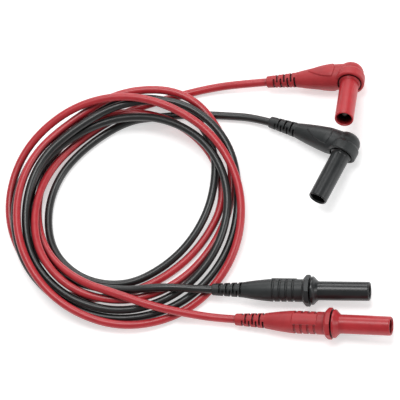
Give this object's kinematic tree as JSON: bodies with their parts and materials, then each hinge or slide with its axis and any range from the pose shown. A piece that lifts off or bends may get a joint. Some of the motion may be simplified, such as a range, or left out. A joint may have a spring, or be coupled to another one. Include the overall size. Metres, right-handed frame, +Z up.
{
  "type": "test lead set",
  "caption": "Two shrouded safety test leads, red and black, loosely coiled, each with a right-angle plug and a straight plug.",
  "frame": {"origin": "on the surface the leads lie on, under the middle of the four plugs", "axes": "+X along the straight plugs towards their noses, +Y away from the straight plugs towards the right-angle plugs, +Z up"},
  "size_m": [0.1644, 0.1233, 0.0215],
  "materials": {
    "red_cable": "satin",
    "black_cable": "satin",
    "red_grip": "matte",
    "black_grip": "matte",
    "red_shroud": "satin",
    "black_shroud": "satin",
    "red_core": "matte",
    "black_core": "matte",
    "insulation": "matte",
    "copper": "satin",
    "nickel": "gloss",
    "spring": "satin",
    "crimp": "satin"
  },
  "bodies": {
    "root": {"red_cable_jacket": "red_cable", "red_cable_insulation": "insulation", "red_conductor": "copper", "red_straight_grip": "red_grip", "red_angle_body": "red_grip", "red_straight_barrel": "red_shroud", "red_angle_barrel": "red_shroud", "red_straight_core": "red_core", "red_angle_core": "red_core", "red_straight_pin": "nickel", "red_angle_pin": "nickel", "red_straight_crimp": "crimp", "red_angle_crimp": "crimp", "black_cable_jacket": "black_cable", "black_cable_insulation": "insulation", "black_conductor": "copper", "black_straight_grip": "black_grip", "black_angle_body": "black_grip", "black_straight_barrel": "black_shroud", "black_angle_barrel": "black_shroud", "black_straight_core": "black_core", "black_angle_core": "black_core", "black_straight_pin": "nickel", "black_angle_pin": "nickel", "black_straight_crimp": "crimp", "black_angle_crimp": "crimp"},
    "red_straight_spring": {"red_straight_spring": "spring"},
    "red_angle_spring": {"red_angle_spring": "spring"},
    "black_straight_spring": {"black_straight_spring": "spring"},
    "black_angle_spring": {"black_angle_spring": "spring"}
  },
  "joints": [
    {"name": "red_straight_spring_spin", "type": "hinge", "parent": "root", "child": "red_straight_spring", "pos_m": [0.023, -0.05578, 0.00695], "axis": [0.9883, -0.1389, 0.0628], "continuous": true},
    {"name": "red_angle_spring_spin", "type": "hinge", "parent": "root", "child": "red_angle_spring", "pos_m": [0.02124, 0.04386, 0.01205], "axis": [-0.0522, -0.9051, 0.422], "continuous": true},
    {"name": "black_straight_spring_spin", "type": "hinge", "parent": "root", "child": "black_straight_spring", "pos_m": [0.0141, -0.04011, 0.00615], "axis": [0.9962, -0.0872, 0], "continuous": true},
    {"name": "black_angle_spring_spin", "type": "hinge", "parent": "root", "child": "black_angle_spring", "pos_m": [0.01377, 0.01228, 0.00835], "axis": [-0.431, -0.893, 0.1299], "continuous": true}
  ]
}
